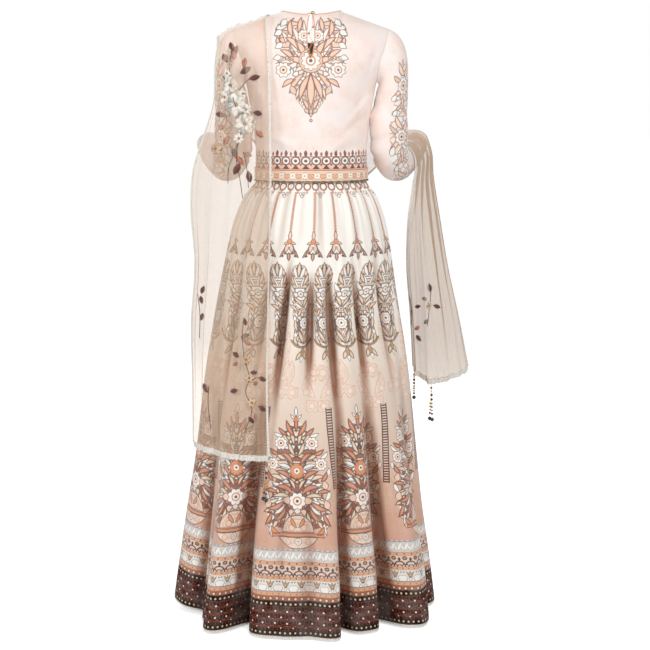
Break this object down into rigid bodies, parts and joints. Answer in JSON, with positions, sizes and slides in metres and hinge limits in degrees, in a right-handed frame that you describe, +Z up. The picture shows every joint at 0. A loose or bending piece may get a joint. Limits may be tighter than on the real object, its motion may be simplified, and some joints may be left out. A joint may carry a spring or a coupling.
{
  "type": "lehenga outfit with dupatta",
  "caption": "Hollow worn lehenga outfit: long-sleeved blouse, belt and full floor-length printed skirt, with a sheer dupatta draped over one shoulder and the other forearm.",
  "frame": {"origin": "centre of the hollow waist, level with the middle of the belt, where a wearer's waist holds the outfit up", "axes": "+Z up, +Y towards the wearer's back, +X towards the wearer's left"},
  "size_m": [0.6931, 0.552, 1.3682],
  "materials": {
    "print_cotton": "fine printed cotton silk, soft sheen, ivory fading to salmon",
    "border_print": "printed border rows in silver white, rust and orange",
    "hem_band": "dark brown printed band with gold and white dots",
    "hem_edging": "narrow off-white lace",
    "belt_cloth": "cream cloth with thread embroidery",
    "peach_piping": "satin piping",
    "metal_cord": "twisted metallic thread cord",
    "blouse_cotton": "fine printed cotton silk, matt, pale peach",
    "gold_bead": "small polished beads",
    "sheer_net": "sheer soft net, slight shimmer",
    "white_lace": "white dotted lace edging",
    "glass_beads": "dark, amber and clear beads on thread"
  },
  "bodies": {
    "root": {"skirt_back": "print_cotton", "skirt_front": "print_cotton", "border_back": "border_print", "border_front": "border_print", "hem_band_back": "hem_band", "hem_band_front": "hem_band", "hem_edge_back": "hem_edging", "hem_edge_front": "hem_edging", "belt_back": "belt_cloth", "belt_front": "belt_cloth", "waist_piping_back": "peach_piping", "waist_piping_front": "peach_piping", "belt_cord_back": "metal_cord", "belt_cord_front": "metal_cord", "bodice_back": "blouse_cotton", "bodice_front": "blouse_cotton", "sleeve_right": "blouse_cotton", "sleeve_left": "blouse_cotton", "keyhole_binding": "peach_piping", "neck_binding": "peach_piping", "neck_button": "gold_bead", "button_loop": "peach_piping", "neck_tie": "gold_bead", "dupatta_back_fall": "sheer_net", "dupatta_front_swag": "sheer_net", "dupatta_forearm_fall": "sheer_net", "dupatta_edging_back": "white_lace", "dupatta_edging_forearm": "white_lace", "dupatta_tassel_back": "glass_beads", "dupatta_tassel_outer": "glass_beads", "dupatta_tassel_inner": "glass_beads"}
  },
  "joints": []
}
